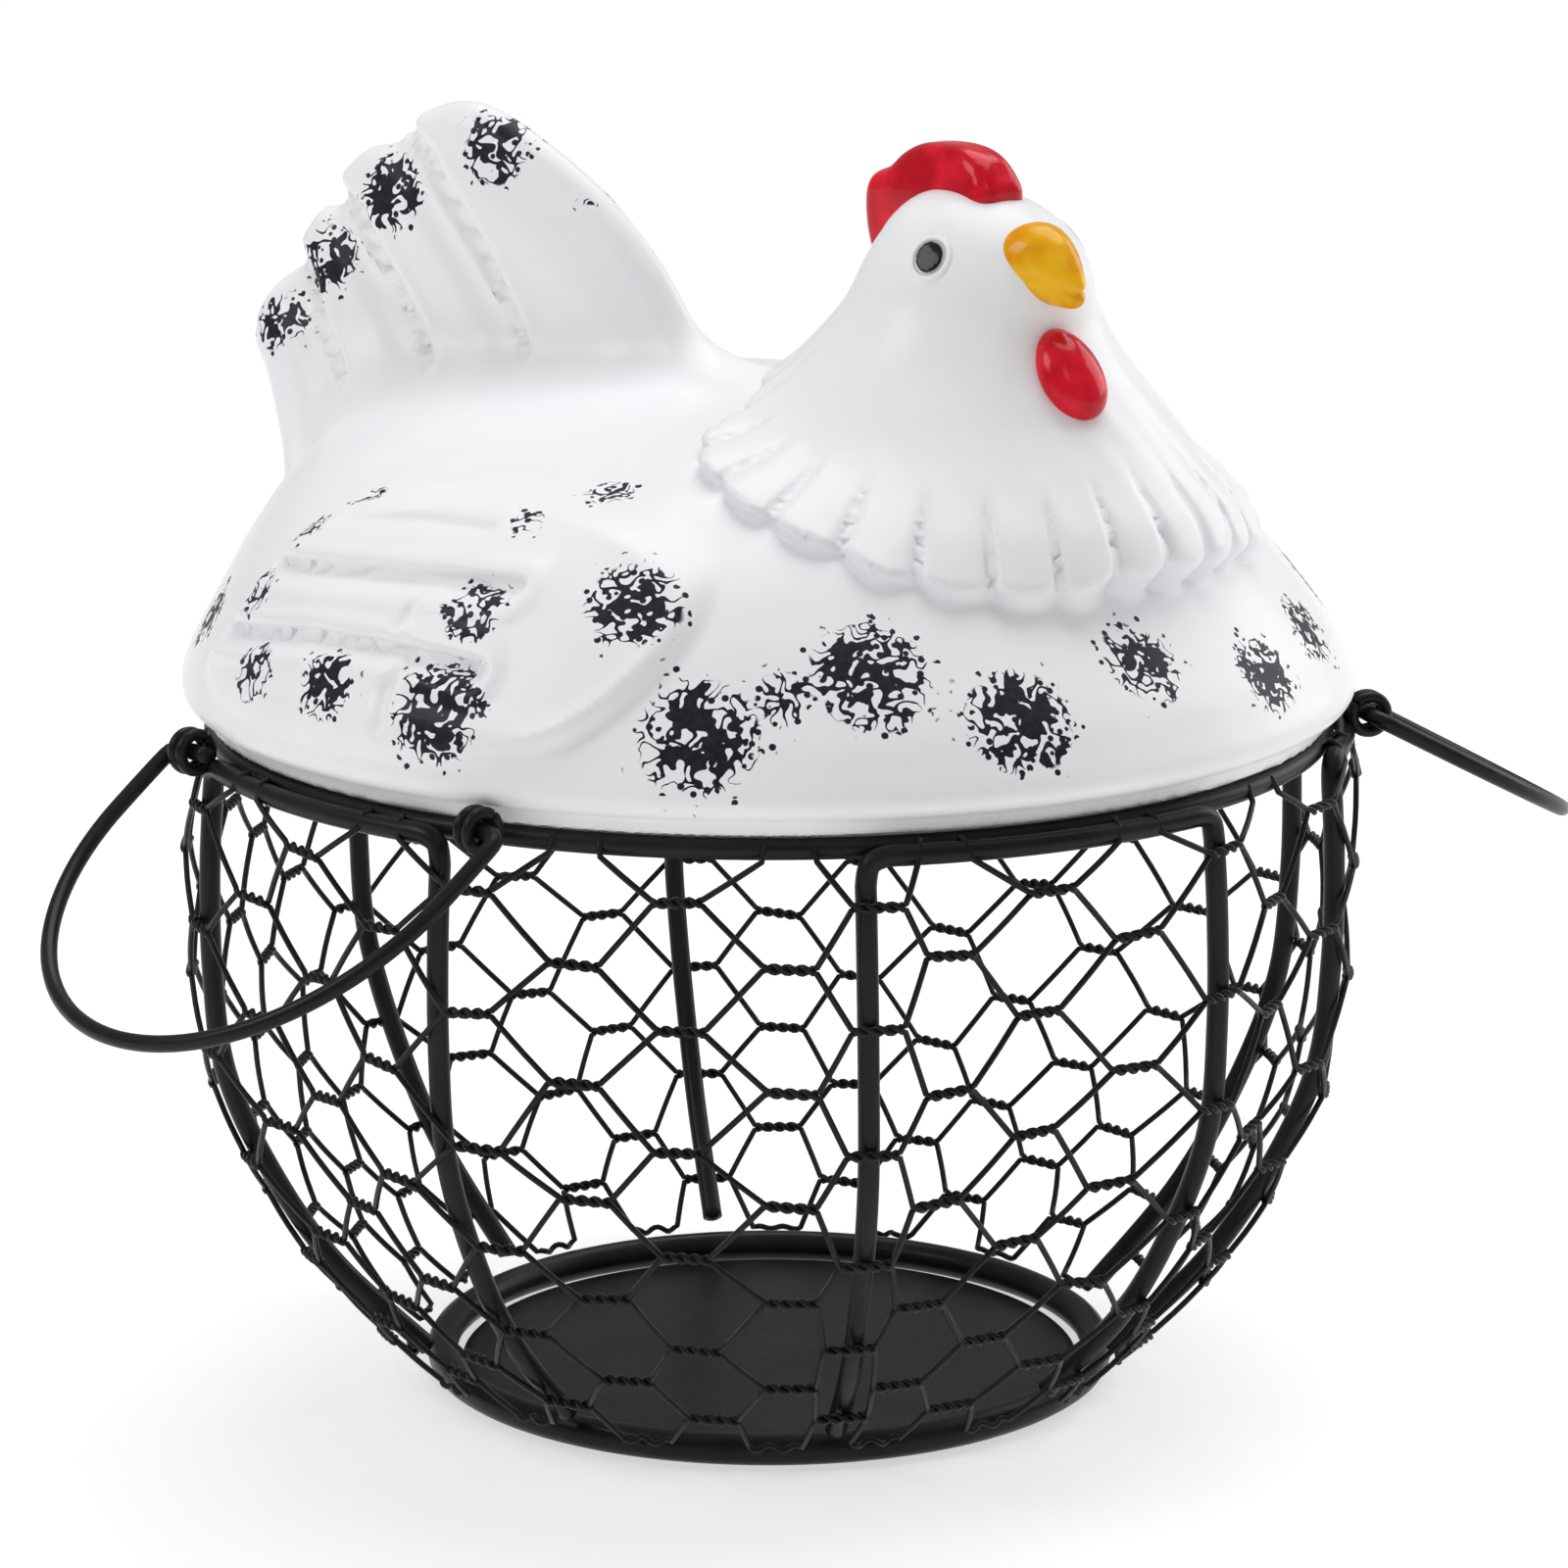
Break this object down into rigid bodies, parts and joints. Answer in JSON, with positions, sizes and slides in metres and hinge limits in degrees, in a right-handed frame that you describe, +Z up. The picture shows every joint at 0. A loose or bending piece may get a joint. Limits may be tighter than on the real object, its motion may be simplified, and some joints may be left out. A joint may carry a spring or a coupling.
{
  "type": "egg basket with hen lid",
  "caption": "Round wire egg basket with chicken-wire walls, swinging bail handles at its sides and a lift-off glazed ceramic lid in the shape of a hen",
  "frame": {"origin": "centre of the basket's round floor, on the surface it stands on", "axes": "+Z up out of the basket's mouth; +X level, across the pair of handles; -Y is the front, between the two handles on the hen's beak side"},
  "size_m": [0.2526, 0.1789, 0.1935],
  "materials": {
    "black_wire": "black paint on steel wire, satin",
    "white_glaze": "satin white glaze with dark speckled patches",
    "red_glaze": "glossy red paint",
    "yellow_glaze": "glossy yellow paint",
    "black_glaze": "glossy black paint"
  },
  "bodies": {
    "basket": {"rim_ring": "black_wire", "base_ring": "black_wire", "floor_plate": "black_wire", "rib_rod_left": "black_wire", "rib_rod_front": "black_wire", "rib_rod_right": "black_wire", "rib_rod_back": "black_wire", "net_panel_1": "black_wire", "net_panel_2": "black_wire", "net_panel_3": "black_wire", "net_panel_4": "black_wire", "net_panel_5": "black_wire", "net_panel_6": "black_wire", "net_panel_7": "black_wire", "net_panel_8": "black_wire", "net_panel_9": "black_wire", "eye_left_a": "black_wire", "eye_left_b": "black_wire", "eye_right_a": "black_wire", "eye_right_b": "black_wire"},
    "left_handle": {"handle_left": "black_wire"},
    "right_handle": {"handle_right": "black_wire"},
    "lid": {"hen_lid": "white_glaze", "comb": "red_glaze", "beak": "yellow_glaze", "wattle": "red_glaze", "hen_eye_left": "black_glaze", "hen_eye_right": "black_glaze"}
  },
  "joints": [
    {"name": "left_handle_swing", "type": "hinge", "parent": "basket", "child": "left_handle", "pos_m": [-0.08282, -0.0176, 0.1045], "axis": [-0.2079, 0.9781, 0], "range_deg": [-46, 126]},
    {"name": "right_handle_swing", "type": "hinge", "parent": "basket", "child": "right_handle", "pos_m": [0.08282, -0.0176, 0.1045], "axis": [-0.2079, -0.9781, 0], "range_deg": [-54, 118]},
    {"name": "lid_lift", "type": "slide", "parent": "basket", "child": "lid", "axis": [0, 0, 1], "range_m": [0, 0.15]}
  ]
}
